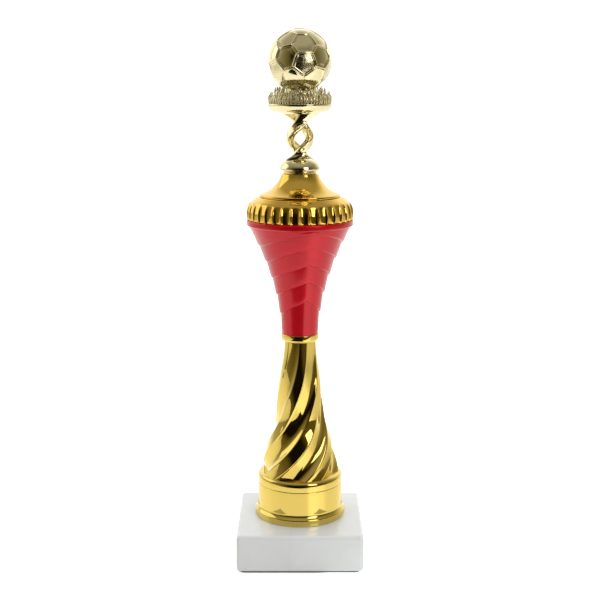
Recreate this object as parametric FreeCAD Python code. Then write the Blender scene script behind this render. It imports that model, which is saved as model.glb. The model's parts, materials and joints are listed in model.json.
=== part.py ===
import FreeCAD, Part
import math
import os

# A figure trophy, 294 mm tall, in millimetres. The origin is the centre of the underside, +Z is up
# and the front faces -Y. A square marble block carries a stack of hollow mouldings (cup, twisted
# stem, ring, flared body, lid) threaded on one long tie rod. A nut in a recess under the block
# pulls the stack together, and a ball figure on two twisted strands screws onto the rod's top.
# The pieces on the rod are drawn about the Z axis and then moved back onto the rod's own axis.

Vector = FreeCAD.Vector
AXIS_POINT = Vector(0, 0, 0)
UP = Vector(0, 0, 1)

# The rod stands behind the middle of the block.
SET_BACK = Vector(0, 4.0, 0)

# Heights of the joints between the pieces, from the table up.
FELT_TOP = 0.8
BLOCK_TOP = 21.6
CUP_TOP = 41.0
SKIRT_TOP = 46.8
STEM_TOP = 123.3
RING_TOP = 127.4
BODY_TOP = 191.4
FLUTED_LID_TOP = 204.0
LID_CAP_TOP = 216.6
NECK_RING_TOP = 218.4
COLLAR_TOP = 224.9
DISH_BOTTOM = 249.1
DISH_TOP = 254.4
BALL_CENTRE = 277.1

# Driving sizes.
BLOCK_SIDE = 70.0
BLOCK_EDGE_RADIUS = 2.0
ROD_RADIUS = 2.97
ROD_HOLE_RADIUS = 3.3
ROD_BOTTOM = 1.8
ROD_TOP = 223.0
CUP_RADIUS = 24.1
FLANGE_RADIUS = 25.75
BODY_RIM_RADIUS = 29.45
BALL_RADIUS = 17.0
WALL = 2.0

# Recess under the block, with its fasteners stacked from the ceiling down.
RECESS_RADIUS = 12.0
RECESS_CEILING = 11.6
FLAT_WASHER_THICK = 1.6
LOCK_WASHER_THICK = 1.6
NUT_HEIGHT = 5.0
NUT_ACROSS_FLATS = 10.0
THREAD_GAP = 0.05


def ring_of_points(count, point_at):
    """Points point_at(angle) at equal angles round the axis, in radians."""
    return [point_at(2 * math.pi * k / count) for k in range(count)]


def polar(radius, angle, z):
    return Vector(radius * math.cos(angle), radius * math.sin(angle), z)


def smooth_loop(points):
    """A closed wire of one smooth curve through the points."""
    curve = Part.BSplineCurve()
    curve.interpolate(points + [points[0]])
    return Part.Wire([curve.toShape()])


def blend_through(stops, z):
    """The value at height z on the straight lines through (z, value) stops."""
    for (z0, v0), (z1, v1) in zip(stops, stops[1:]):
        if z <= z1:
            share = min(1.0, max(0.0, (z - z0) / (z1 - z0)))
            return v0 + (v1 - v0) * share
    return stops[-1][1]


class Outline:
    """A closed outline in the radius-height half plane, drawn edge by edge and spun about the axis."""

    def __init__(self, radius, z):
        self.start = self.at = Vector(radius, 0, z)
        self.edges = []

    def line(self, radius, z):
        end = Vector(radius, 0, z)
        self.edges.append(Part.LineSegment(self.at, end).toShape())
        self.at = end
        return self

    def arc(self, through, end):
        middle, last = Vector(through[0], 0, through[1]), Vector(end[0], 0, end[1])
        self.edges.append(Part.Arc(self.at, middle, last).toShape())
        self.at = last
        return self

    def curve(self, *points):
        stops = [self.at] + [Vector(radius, 0, z) for radius, z in points]
        curve = Part.BSplineCurve()
        curve.interpolate(stops)
        self.edges.append(curve.toShape())
        self.at = stops[-1]
        return self

    def spin(self):
        if (self.at - self.start).Length > 1e-6:
            self.line(self.start.x, self.start.z)
        face = Part.Face(Part.Wire(self.edges))
        return face.revolve(AXIS_POINT, UP, 360)


def tube(outer_radius, inner_radius, bottom, top):
    outer = Part.makeCylinder(outer_radius, top - bottom, Vector(0, 0, bottom))
    return outer.cut(Part.makeCylinder(inner_radius, top - bottom, Vector(0, 0, bottom)))


# ---------------------------------------------------------------- base

FELT_INSET = 1.6
FELT_CORNER_RADIUS = 3.0
FELT_HOLE_RADIUS = 13.0


def felt_sheet():
    """Thin sheet under the block, with a round window for the nut."""
    side = BLOCK_SIDE - 2 * FELT_INSET
    sheet = Part.makeBox(side, side, FELT_TOP, Vector(-side / 2, -side / 2, 0))
    upright = [edge for edge in sheet.Edges if abs(edge.tangentAt(edge.FirstParameter).z) > 0.9]
    sheet = sheet.makeFillet(FELT_CORNER_RADIUS, upright)
    return sheet.cut(Part.makeCylinder(FELT_HOLE_RADIUS, FELT_TOP, SET_BACK))


def marble_base():
    """Square block with rounded edges, a rod hole and a recess for the nut."""
    height = BLOCK_TOP - FELT_TOP
    corner = Vector(-BLOCK_SIDE / 2, -BLOCK_SIDE / 2, FELT_TOP)
    block = Part.makeBox(BLOCK_SIDE, BLOCK_SIDE, height, corner)
    block = block.makeFillet(BLOCK_EDGE_RADIUS, block.Edges)
    recess_depth = RECESS_CEILING - FELT_TOP
    recess = Part.makeCylinder(RECESS_RADIUS, recess_depth, Vector(0, 0, FELT_TOP) + SET_BACK)
    hole = Part.makeCylinder(ROD_HOLE_RADIUS, BLOCK_TOP, SET_BACK)
    return block.cut(recess).cut(hole)


# ---------------------------------------------------------------- rod and fasteners

FLAT_WASHER_RADIUS = 9.0
LOCK_WASHER_RADIUS = 5.9
LOCK_WASHER_SPLIT = 1.4
ROD_CHAMFER = 0.5


def tie_rod():
    """Threaded rod, drawn plain at its thread's outer size, with chamfered ends."""
    rod = Part.makeCylinder(ROD_RADIUS, ROD_TOP - ROD_BOTTOM, Vector(0, 0, ROD_BOTTOM))
    ends = [edge for edge in rod.Edges if isinstance(edge.Curve, Part.Circle)]
    return rod.makeChamfer(ROD_CHAMFER, ends)


def flat_washer():
    return tube(FLAT_WASHER_RADIUS, ROD_HOLE_RADIUS, RECESS_CEILING - FLAT_WASHER_THICK, RECESS_CEILING)


def lock_washer():
    """Split spring washer, with its cut leaning across the section."""
    top = RECESS_CEILING - FLAT_WASHER_THICK
    washer = tube(LOCK_WASHER_RADIUS, ROD_RADIUS + THREAD_GAP, top - LOCK_WASHER_THICK, top)
    reach = LOCK_WASHER_RADIUS + 1
    lean = LOCK_WASHER_THICK
    corners = [(0, 0), (LOCK_WASHER_SPLIT, 0), (LOCK_WASHER_SPLIT + lean, lean), (lean, lean)]
    loop = [Vector(0, y, top - LOCK_WASHER_THICK + z) for y, z in corners]
    loop.append(loop[0])
    cut = Part.Face(Part.makePolygon(loop)).extrude(Vector(reach, 0, 0))
    return washer.cut(cut)


def hex_nut():
    """Hexagon nut with its corners turned off by a cone at each end."""
    top = RECESS_CEILING - FLAT_WASHER_THICK - LOCK_WASHER_THICK
    bottom = top - NUT_HEIGHT
    corner_radius = NUT_ACROSS_FLATS / 2 / math.cos(math.radians(30))
    loop = [polar(corner_radius, math.radians(60 * k), bottom) for k in range(7)]
    nut = Part.Face(Part.makePolygon(loop)).extrude(Vector(0, 0, NUT_HEIGHT))
    turned = 0.9
    flat_radius = NUT_ACROSS_FLATS / 2 - 0.1
    envelope = (
        Outline(0, bottom)
        .line(flat_radius, bottom)
        .line(corner_radius + 0.2, bottom + turned)
        .line(corner_radius + 0.2, top - turned)
        .line(flat_radius, top)
        .line(0, top)
        .spin()
    )
    return nut.common(envelope).cut(Part.makeCylinder(ROD_RADIUS + THREAD_GAP, top))


# ---------------------------------------------------------------- cup and twisted stem

CUP_FLOOR = 3.0
FLANGE_SHOULDER = 25.2
FLANGE_TOP = 27.3
SPIGOT_LIP = 3.0
SPIGOT_RADIUS = 21.9
HUB_RADIUS = 7.0
HUB_HEIGHT = 10.0


def base_cup():
    """Flanged cup on the block, with a hub round the rod and a lip that centres the stem."""
    inner = SPIGOT_RADIUS - WALL
    floor_top = BLOCK_TOP + CUP_FLOOR
    return (
        Outline(ROD_HOLE_RADIUS, BLOCK_TOP)
        .line(FLANGE_RADIUS - 0.3, BLOCK_TOP)
        .line(FLANGE_RADIUS, BLOCK_TOP + 0.3)
        .line(FLANGE_RADIUS, FLANGE_SHOULDER)
        .arc((CUP_RADIUS + 0.7, FLANGE_SHOULDER + 0.75), (CUP_RADIUS + 0.1, FLANGE_TOP - 0.4))
        .line(CUP_RADIUS, FLANGE_TOP)
        .line(CUP_RADIUS, CUP_TOP - 0.2)
        .line(CUP_RADIUS - 0.2, CUP_TOP)
        .line(SPIGOT_RADIUS, CUP_TOP)
        .line(SPIGOT_RADIUS, CUP_TOP + SPIGOT_LIP)
        .line(inner, CUP_TOP + SPIGOT_LIP)
        .line(inner, floor_top)
        .line(HUB_RADIUS, floor_top)
        .line(HUB_RADIUS, floor_top + HUB_HEIGHT)
        .line(ROD_HOLE_RADIUS, floor_top + HUB_HEIGHT)
        .spin()
    )


STEM_LOBES = 5
STEM_POINTS_PER_LOBE = 12
STEM_SECTIONS = 19
STEM_TOP_PLATE = 3.0
STEM_TWIST = math.radians(135)
STEM_TWIST_GATHER = 1.7
STEM_RIB_EDGE = math.radians(-18)
SKIRT_BORE = 22.0
SKIRT_ROUND = 2.1
# Radius over the ribs and depth of the channels between them, by height.
STEM_RIB_RADIUS = [
    (46.0, 22.3), (52.0, 21.4), (60.0, 19.6), (66.0, 17.9), (72.0, 15.8), (78.0, 14.0),
    (85.0, 13.4), (93.0, 12.9), (101.0, 11.7), (108.0, 10.6), (114.0, 9.5), (123.3, 9.0),
]
STEM_CHANNEL_DEPTH = [(46.0, 2.8), (70.0, 2.6), (95.0, 1.7), (114.0, 0.8), (123.3, 0.5)]


def stem_turn(z):
    """How far the ribs have turned at height z. They twist more tightly towards the bottom."""
    share = max(0.0, (STEM_TOP - z) / (STEM_TOP - SKIRT_TOP))
    return STEM_RIB_EDGE - STEM_TWIST * share**STEM_TWIST_GATHER


def channel_share(lobe):
    """Depth of the channel, 0 to 1, across one lobe: a flat rib, a sharp step, a slow fall, a rise."""
    if lobe < 0.36:
        return 0.06 * math.sin(math.pi * lobe / 0.36)
    if lobe < 0.42:
        return 0.35 * (lobe - 0.36) / 0.06
    if lobe < 0.80:
        fall = (lobe - 0.42) / 0.38
        return 0.35 + 0.65 * math.sin(math.pi / 2 * fall)
    return math.cos(math.pi / 2 * (lobe - 0.80) / 0.20)


def stem_section(z):
    """Closed outline of the ribs and channels at height z."""
    rib = blend_through(STEM_RIB_RADIUS, z)
    depth = blend_through(STEM_CHANNEL_DEPTH, z)
    turn = stem_turn(z)

    def point(angle):
        lobe = (angle * STEM_LOBES / (2 * math.pi)) % 1.0
        return polar(rib - depth * channel_share(lobe), angle + turn, z)

    return smooth_loop(ring_of_points(STEM_LOBES * STEM_POINTS_PER_LOBE, point))


def twisted_stem():
    """Hollow column of five ribs that twist as they spread towards a plain skirt."""
    bottom = SKIRT_TOP - 0.6
    heights = [bottom + (STEM_TOP - bottom) * k / (STEM_SECTIONS - 1) for k in range(STEM_SECTIONS)]
    column = Part.makeLoft([stem_section(z) for z in heights], True, False)
    shoulder = SKIRT_ROUND * (1 - math.cos(math.radians(45)))
    skirt = (
        Outline(0, CUP_TOP)
        .line(CUP_RADIUS - 0.2, CUP_TOP)
        .line(CUP_RADIUS, CUP_TOP + 0.2)
        .line(CUP_RADIUS, SKIRT_TOP - SKIRT_ROUND)
        .arc((CUP_RADIUS - shoulder, SKIRT_TOP - shoulder), (CUP_RADIUS - SKIRT_ROUND, SKIRT_TOP))
        .line(0, SKIRT_TOP)
        .spin()
    )
    hollow = (
        Outline(0, CUP_TOP)
        .line(SKIRT_BORE, CUP_TOP)
        .line(SKIRT_BORE, SKIRT_TOP - 2.4)
        .line(18.6, SKIRT_TOP - 2.4)
        .line(17.2, SKIRT_TOP + 0.7)
        .curve((14.6, 60.0), (11.9, 70.0), (9.6, 80.0), (8.4, 95.0), (7.0, 112.0))
        .line(7.0, STEM_TOP - STEM_TOP_PLATE)
        .line(0, STEM_TOP - STEM_TOP_PLATE)
        .spin()
    )
    hole = Part.makeCylinder(ROD_HOLE_RADIUS, STEM_TOP)
    return column.fuse(skirt).cut(hollow).cut(hole)


RING_RADIUS = 10.65
RING_NOSE = 0.7


def stem_ring():
    """Collar between the stem and the flared body, with a rounded lower lip."""
    return (
        Outline(ROD_HOLE_RADIUS, STEM_TOP)
        .line(RING_RADIUS - 1.0, STEM_TOP)
        .arc((RING_RADIUS - 0.5, STEM_TOP + 0.2), (RING_RADIUS - 0.25, STEM_TOP + RING_NOSE))
        .line(RING_RADIUS, STEM_TOP + RING_NOSE + 0.4)
        .line(RING_RADIUS, RING_TOP - 0.4)
        .line(RING_RADIUS - 0.35, RING_TOP)
        .line(ROD_HOLE_RADIUS, RING_TOP)
        .spin()
    )


# ---------------------------------------------------------------- flared body

BODY_FOOT_RADIUS = 10.1
BODY_MOUTH_RADIUS = 28.2
BODY_FLARE_POWER = 1.8
BODY_NECK = 188.4
BODY_FLOOR = 3.0
BODY_MOUTH_BORE = 26.4
# Heights of the valleys and peaks of the chevron edges, from the lowest edge up.
CHEVRONS = [(139.3, 147.7), (150.0, 158.8), (159.6, 168.7), (168.8, 178.6), (177.8, 187.3)]
CHEVRON_PEAK_ANGLE = math.radians(-74)
CHEVRON_POINTS = 48
CHEVRON_LIP = 0.35
CHEVRON_LEDGE = 0.25


def body_radius(z):
    """Outer radius of the smooth flare at height z."""
    share = (z - RING_TOP) / (BODY_NECK - RING_TOP)
    return BODY_FOOT_RADIUS + (BODY_MOUTH_RADIUS - BODY_FOOT_RADIUS) * max(0.0, share) ** BODY_FLARE_POWER


def chevron_height(step, angle):
    """Height of one chevron edge: peaks at front and back, and round valleys at the sides."""
    valley, peak = CHEVRONS[step]
    from_peak = abs(math.remainder(angle - CHEVRON_PEAK_ANGLE, math.pi)) / (math.pi / 2)
    slope = 1 - from_peak
    softened = slope if slope > 0.2 else 0.1 + slope**2 / 0.4
    return valley + (peak - valley) * (softened - 0.1) / 0.9


def chevron_loop(step, drop, offset):
    """Closed line along chevron edge number step, lowered by drop and pushed out by offset."""

    def point(angle):
        z = chevron_height(step, angle) - drop
        return polar(body_radius(z) + offset, angle, z)

    points = ring_of_points(CHEVRON_POINTS, lambda angle: point(angle + CHEVRON_PEAK_ANGLE))
    return Part.makePolygon(points + [points[0]])


def level_loop(z, radius):
    """Closed level line with its points at the same angles as those of the chevron edges."""
    points = ring_of_points(
        CHEVRON_POINTS, lambda angle: polar(radius, angle + CHEVRON_PEAK_ANGLE, z)
    )
    return Part.makePolygon(points + [points[0]])


def flared_body():
    """Flared body with five overlapping chevron steps and a rolled rim, open at the top."""
    loops = [level_loop(RING_TOP, BODY_FOOT_RADIUS)]
    for step in range(len(CHEVRONS)):
        loops.append(chevron_loop(step, CHEVRON_LEDGE, -CHEVRON_LIP))
        loops.append(chevron_loop(step, 0, CHEVRON_LIP))
    loops.append(level_loop(BODY_NECK, BODY_MOUTH_RADIUS))
    shell = Part.makeLoft(loops, True, True)
    rim = (
        Outline(0, BODY_NECK)
        .line(BODY_MOUTH_RADIUS, BODY_NECK)
        .line(BODY_RIM_RADIUS - 0.3, BODY_NECK + 0.2)
        .arc((BODY_RIM_RADIUS - 0.09, BODY_NECK + 0.29), (BODY_RIM_RADIUS, BODY_NECK + 0.5))
        .line(BODY_RIM_RADIUS, BODY_TOP - 0.4)
        .line(BODY_RIM_RADIUS - 0.4, BODY_TOP)
        .line(0, BODY_TOP)
        .spin()
    )
    hollow = (
        Outline(0, RING_TOP + BODY_FLOOR)
        .line(7.2, RING_TOP + BODY_FLOOR)
        .curve((8.3, 140.0), (10.6, 150.0), (13.2, 160.0), (18.0, 173.0), (24.0, 184.5))
        .line(BODY_MOUTH_BORE, 188.0)
        .line(BODY_MOUTH_BORE, BODY_TOP)
        .line(0, BODY_TOP)
        .spin()
    )
    hole = Part.makeCylinder(ROD_HOLE_RADIUS, BODY_TOP)
    return shell.fuse(rim).cut(hollow).cut(hole)


# ---------------------------------------------------------------- lid

FLUTES = 36
FLUTE_POINTS = 6
FLUTED_PROFILE = [
    (191.4, 28.9), (193.0, 29.4), (195.4, 29.45), (197.1, 29.3), (198.8, 28.8), (200.4, 28.0),
    (202.0, 26.4), (203.4, 24.3),
]
FLUTE_DEPTH = [
    (191.4, 0.9), (193.0, 1.1), (197.1, 1.1), (198.8, 0.9), (200.4, 0.3), (201.2, 0.0),
    (203.4, 0.0),
]
LID_SPIGOT_RADIUS = 26.2
LID_SPIGOT_DEPTH = 2.6


def fluted_section(z):
    radius = blend_through(FLUTED_PROFILE, z)
    depth = blend_through(FLUTE_DEPTH, z)

    def point(angle):
        return polar(radius - depth * (1 - abs(math.cos(FLUTES * angle / 2))), angle, z)

    return smooth_loop(ring_of_points(FLUTES * FLUTE_POINTS, point))


def fluted_lid():
    """Low dome with upright flutes round its side, which closes the flared body."""
    dome = Part.makeLoft([fluted_section(z) for z, _ in FLUTED_PROFILE], True, False)
    top_z, top_radius = FLUTED_PROFILE[-1]
    cap_seat = (
        Outline(0, top_z)
        .line(top_radius, top_z)
        .arc((23.9, 203.8), (23.2, FLUTED_LID_TOP))
        .line(0, FLUTED_LID_TOP)
        .spin()
    )
    spigot_bottom = BODY_TOP - LID_SPIGOT_DEPTH
    spigot = Part.makeCylinder(LID_SPIGOT_RADIUS, LID_SPIGOT_DEPTH, Vector(0, 0, spigot_bottom))
    bore = LID_SPIGOT_RADIUS - WALL
    hollow = (
        Outline(0, spigot_bottom)
        .line(bore, spigot_bottom)
        .line(bore, 197.0)
        .curve((23.0, 199.6), (20.0, 201.3))
        .line(0, 201.3)
        .spin()
    )
    hole = Part.makeCylinder(ROD_HOLE_RADIUS, FLUTED_LID_TOP)
    return dome.fuse(cap_seat).fuse(spigot).cut(hollow).cut(hole)


CAP_EDGE_RADIUS = 22.4
CAP_NECK_RADIUS = 10.05
CAP_PLATE = 2.5


def lid_cap():
    """Thin spreading cap that sweeps up from the fluted lid to the neck under the figure."""
    return (
        Outline(CAP_EDGE_RADIUS - WALL, FLUTED_LID_TOP)
        .line(CAP_EDGE_RADIUS - 0.4, FLUTED_LID_TOP)
        .arc((CAP_EDGE_RADIUS, FLUTED_LID_TOP + 0.7), (CAP_EDGE_RADIUS - 0.4, FLUTED_LID_TOP + 1.4))
        .curve((18.2, 207.0), (15.2, 208.9), (12.6, 211.8), (11.1, 214.2), (CAP_NECK_RADIUS, LID_CAP_TOP))
        .line(ROD_HOLE_RADIUS, LID_CAP_TOP)
        .line(ROD_HOLE_RADIUS, LID_CAP_TOP - CAP_PLATE)
        .line(8.2, LID_CAP_TOP - CAP_PLATE)
        .curve((9.4, 211.8), (12.0, 208.6), (16.0, 206.0))
        .spin()
    )


NECK_RING_RADIUS = 9.2


def neck_ring():
    """Thin spacer ring on the cap, under the figure's collar."""
    half = (NECK_RING_TOP - LID_CAP_TOP) / 2
    return (
        Outline(ROD_HOLE_RADIUS, LID_CAP_TOP)
        .line(NECK_RING_RADIUS - 0.3, LID_CAP_TOP)
        .arc((NECK_RING_RADIUS, LID_CAP_TOP + half), (NECK_RING_RADIUS - 0.3, NECK_RING_TOP))
        .line(ROD_HOLE_RADIUS, NECK_RING_TOP)
        .spin()
    )


# ---------------------------------------------------------------- figure

INSERT_RADIUS = 4.4
INSERT_POCKET_RADIUS = 4.45
INSERT_TOP = 223.6
COLLAR_RADIUS = 11.2


def thread_insert():
    """Round threaded insert inside the collar, which runs on the top of the tie rod."""
    return tube(INSERT_RADIUS, ROD_RADIUS + THREAD_GAP, NECK_RING_TOP, INSERT_TOP)


def figure_collar():
    """Cushion-shaped foot of the figure, bored from below for the insert."""
    cushion = (
        Outline(0, NECK_RING_TOP)
        .line(COLLAR_RADIUS - 0.4, NECK_RING_TOP)
        .arc((COLLAR_RADIUS, NECK_RING_TOP + 1.1), (COLLAR_RADIUS - 0.3, NECK_RING_TOP + 2.3))
        .curve((9.8, 222.6), (8.3, 223.8), (6.0, COLLAR_TOP - 0.1))
        .line(5.0, COLLAR_TOP)
        .line(0, COLLAR_TOP)
        .spin()
    )
    pocket_depth = INSERT_TOP + THREAD_GAP - NECK_RING_TOP
    pocket = Part.makeCylinder(INSERT_POCKET_RADIUS, pocket_depth, Vector(0, 0, NECK_RING_TOP))
    return cushion.cut(pocket)


STRAND_PITCH = 34.0
STRAND_BOTTOM = 224.0
STRAND_OPEN_HEIGHT = 236.0
# By height: distance of a strand's middle from the axis, half its thickness and half its width.
STRAND_REACH = [
    (224.0, 4.2), (227.5, 2.4), (231.5, 4.0), (236.0, 4.7), (240.5, 4.0), (244.5, 2.6),
    (247.0, 4.4), (249.1, 6.6),
]
STRAND_HALF_THICK = [(224.0, 2.0), (227.5, 1.7), (236.0, 2.1), (244.5, 1.9), (247.0, 2.6), (249.1, 3.4)]
STRAND_HALF_WIDE = [(224.0, 4.2), (227.5, 2.9), (236.0, 3.0), (244.5, 3.4), (247.0, 4.4), (249.1, 6.0)]
STRAND_SECTIONS = 13
STRAND_POINTS = 16


def strand_section(z, start_angle):
    """Oval cross-section of one strand at height z, wide along its path and thin across it."""
    middle_angle = start_angle + 2 * math.pi * (z - STRAND_OPEN_HEIGHT) / STRAND_PITCH
    middle = polar(blend_through(STRAND_REACH, z), middle_angle, z)
    thick = blend_through(STRAND_HALF_THICK, z)
    wide = blend_through(STRAND_HALF_WIDE, z)
    outward = polar(1, middle_angle, 0)
    along = polar(1, middle_angle + math.pi / 2, 0)

    def point(angle):
        return middle + outward * (thick * math.cos(angle)) + along * (wide * math.sin(angle))

    return smooth_loop(ring_of_points(STRAND_POINTS, point))


def strand(start_angle):
    rise = (DISH_BOTTOM - STRAND_BOTTOM) / (STRAND_SECTIONS - 1)
    heights = [STRAND_BOTTOM + rise * k for k in range(STRAND_SECTIONS)]
    return Part.makeLoft([strand_section(z, start_angle) for z in heights], True, False)


def twisted_strands(collar):
    """Two strands wound round each other, cut off where they stand on the collar."""
    pair = [strand(angle).cut(collar) for angle in (0, math.pi)]
    return Part.makeCompound([solid for side in pair for solid in side.Solids])


DISH_RADIUS = 17.7
DISH_FOOT_RADIUS = 11.0
DISH_FLOOR = 253.4
DISH_LIP = 0.6


def grass_dish():
    """Shallow dish with a thin rim, which carries the grass."""
    return (
        Outline(0, DISH_BOTTOM)
        .line(DISH_FOOT_RADIUS, DISH_BOTTOM)
        .arc((15.6, 250.7), (DISH_RADIUS, DISH_FLOOR - 0.1))
        .line(DISH_RADIUS, DISH_TOP)
        .line(DISH_RADIUS - DISH_LIP, DISH_TOP)
        .line(DISH_RADIUS - DISH_LIP, DISH_FLOOR)
        .line(0, DISH_FLOOR)
        .spin()
    )


GRASS_TOP = 263.3
GRASS_GROOVES = 48
GRASS_GROOVE_RADIUS = 0.5
BALL_SEAT_GAP = 0.03


def grass_mound():
    """Domed tuft of grass, grooved upright round its side, with a seat for the ball."""
    mound = (
        Outline(0, DISH_FLOOR)
        .line(16.9, DISH_FLOOR)
        .line(17.5, 257.6)
        .arc((16.3, 260.5), (13.0, 262.3))
        .line(10.8, GRASS_TOP)
        .line(0, GRASS_TOP)
        .spin()
    )
    grooves = []
    for k in range(GRASS_GROOVES):
        angle = 2 * math.pi * k / GRASS_GROOVES
        foot, head = polar(17.0, angle, DISH_FLOOR), polar(17.75, angle, 258.4)
        grooves.append(Part.makeCylinder(GRASS_GROOVE_RADIUS, (head - foot).Length, foot, head - foot))
    seat = Part.makeSphere(BALL_RADIUS + BALL_SEAT_GAP, Vector(0, 0, BALL_CENTRE))
    return mound.cut(Part.makeCompound(grooves)).cut(seat)


def ball_half(side):
    """Hollow half of the ball: side -1 is the front half and +1 the rear half."""
    centre = Vector(0, 0, BALL_CENTRE)
    ball = Part.makeSphere(BALL_RADIUS, centre).cut(Part.makeSphere(BALL_RADIUS - WALL, centre))
    size = 3 * BALL_RADIUS
    low_y = 0 if side > 0 else -size
    half_space = Part.makeBox(size, size, size, Vector(-size / 2, low_y, BALL_CENTRE - size / 2))
    return ball.common(half_space)


def save(name, shape):
    solids = shape.Solids
    for solid in solids:
        if not solid.isValid() or solid.Volume <= 0:
            raise RuntimeError(name + " is not a valid solid")
    whole = solids[0] if len(solids) == 1 else Part.makeCompound(solids)
    whole.exportStep("parts/" + name + ".step")
    print(name, len(solids), "solids,", round(sum(solid.Volume for solid in solids) / 1000, 2), "cm3")


def main():
    os.makedirs("parts", exist_ok=True)
    save("felt_sheet", felt_sheet())
    save("marble_base", marble_base())
    collar = figure_collar()
    on_the_rod = {
        "tie_rod": tie_rod(),
        "flat_washer": flat_washer(),
        "lock_washer": lock_washer(),
        "hex_nut": hex_nut(),
        "base_cup": base_cup(),
        "twisted_stem": twisted_stem(),
        "stem_ring": stem_ring(),
        "flared_body": flared_body(),
        "fluted_lid": fluted_lid(),
        "lid_cap": lid_cap(),
        "neck_ring": neck_ring(),
        "thread_insert": thread_insert(),
        "figure_collar": collar,
        "twisted_strands": twisted_strands(collar),
        "grass_dish": grass_dish(),
        "grass_mound": grass_mound(),
        "ball_front_half": ball_half(-1),
        "ball_rear_half": ball_half(1),
    }
    for name, shape in on_the_rod.items():
        save(name, shape.translated(SET_BACK))


main()
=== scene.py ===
import json
import math
import random

import bmesh
import bpy
from mathutils import Matrix, Vector


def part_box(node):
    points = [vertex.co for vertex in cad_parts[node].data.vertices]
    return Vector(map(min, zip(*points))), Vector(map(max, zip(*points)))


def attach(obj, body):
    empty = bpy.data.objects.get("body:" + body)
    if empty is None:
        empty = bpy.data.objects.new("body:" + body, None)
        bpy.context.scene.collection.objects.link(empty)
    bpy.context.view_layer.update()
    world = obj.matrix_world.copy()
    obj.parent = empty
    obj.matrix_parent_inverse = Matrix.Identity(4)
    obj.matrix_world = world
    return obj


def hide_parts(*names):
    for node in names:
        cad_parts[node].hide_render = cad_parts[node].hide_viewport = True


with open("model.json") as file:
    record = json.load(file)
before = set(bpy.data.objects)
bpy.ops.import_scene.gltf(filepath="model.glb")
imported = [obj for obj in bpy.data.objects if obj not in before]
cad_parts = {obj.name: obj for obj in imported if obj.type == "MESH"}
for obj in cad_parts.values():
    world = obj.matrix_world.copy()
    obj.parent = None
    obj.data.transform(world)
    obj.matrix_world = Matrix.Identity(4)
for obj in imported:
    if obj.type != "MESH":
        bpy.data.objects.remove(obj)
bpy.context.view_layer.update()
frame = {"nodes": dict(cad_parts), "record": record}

bl_info = {
    "name": "Figure Trophy",
    "version": (1, 0, 0),
    "blender": (4, 5, 0),
    "location": "3D View > Sidebar > Trophy",
    "description": "Models the pieces of a figure trophy round its packed frame and sets its stage",
    "category": "Object",
}

MM = 0.001


def span_of(node):
    """The node's lowest and highest levels and its outer radius, in mm."""
    low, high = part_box(node)
    return low.z / MM, high.z / MM, (high.x - low.x) / 2 / MM


ROD_LOW, ROD_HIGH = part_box("tie_rod")
ROD_X, ROD_Y = ((ROD_LOW + ROD_HIGH) / 2)[:2]
# Radius of the rod's hole in the block, the cup, the rings and the lid's cap, in mm.
BORE = 3.3
BALL_LOW, BALL_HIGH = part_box("ball_front_half")
BALL_RADIUS = (BALL_HIGH.z - BALL_LOW.z) / 2
BALL_CENTRE = Vector((ROD_X, ROD_Y, (BALL_HIGH.z + BALL_LOW.z) / 2))


# ---------------------------------------------------------------- settings


class TrophySizes(bpy.types.PropertyGroup):
    rib_count: bpy.props.IntProperty(
        name="Stem ribs", description="How many ribs wind round the stem", default=5, min=3)
    stem_twist: bpy.props.FloatProperty(
        name="Stem twist", description="How far the ribs turn from the top of the stem to its skirt",
        default=math.radians(135), subtype="ANGLE")
    flute_count: bpy.props.IntProperty(
        name="Lid flutes", description="How many upright flutes go round the lid", default=36, min=8)
    blade_count: bpy.props.IntProperty(
        name="Grass blades", description="How many blades stand in the outer row of the grass",
        default=62, min=8)
    seam_depth: bpy.props.FloatProperty(
        name="Ball seam depth", description="Depth of the groove between two panels of the ball",
        default=0.45 * MM, unit="LENGTH")
    ball_turn: bpy.props.FloatProperty(
        name="Ball turn", description="How far the front five-sided panel looks to the right",
        default=math.radians(9.3), subtype="ANGLE")
    ball_drop: bpy.props.FloatProperty(
        name="Ball drop", description="How far the front five-sided panel looks down",
        default=math.radians(4.9), subtype="ANGLE")
    thread_pitch: bpy.props.FloatProperty(
        name="Rod thread pitch", description="Height of one turn of the tie rod's thread",
        default=1.0 * MM, unit="LENGTH")


def colour(name, description, default):
    return bpy.props.FloatVectorProperty(
        name=name, description=description, default=default, subtype="COLOR", size=3, min=0, max=1)


class TrophyColours(bpy.types.PropertyGroup):
    bright_gold: colour("Bright gold", "Colour of the cup, stem and ring", (0.76, 0.575, 0.145))
    warm_gold: colour("Warm gold", "Colour of the fluted lid and its cap", (0.84, 0.54, 0.10))
    pale_gold: colour("Pale gold", "Colour of the figure", (0.82, 0.745, 0.47))
    lacquer: colour("Red lacquer", "Colour of the flared body", (0.54, 0.001, 0.010))
    marble: colour("Marble", "Colour of the block between its veins", (0.64, 0.665, 0.685))
    zinc: colour("Zinc", "Colour of the rod, nut and washers", (0.62, 0.63, 0.65))
    brass: colour("Brass", "Colour of the threaded insert", (0.72, 0.53, 0.22))
    felt: colour("Felt", "Colour of the sheet under the block", (0.10, 0.10, 0.105))


class TrophyStage(bpy.types.PropertyGroup):
    camera_place: bpy.props.FloatVectorProperty(
        name="Camera", description="Where the camera stands", default=(0.0, -0.643, 0.2748),
        subtype="TRANSLATION", unit="LENGTH", size=3)
    camera_pitch: bpy.props.FloatProperty(
        name="Camera pitch", description="How far the camera looks down", default=math.radians(11.26),
        subtype="ANGLE")
    camera_lens: bpy.props.FloatProperty(
        name="Focal length", description="Focal length on a 36 mm sensor", default=70.8)
    floor_reach: bpy.props.FloatProperty(
        name="Floor reach", description="How far the pale floor goes behind the trophy", default=1.1,
        unit="LENGTH")


# ---------------------------------------------------------------- hand tools


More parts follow.
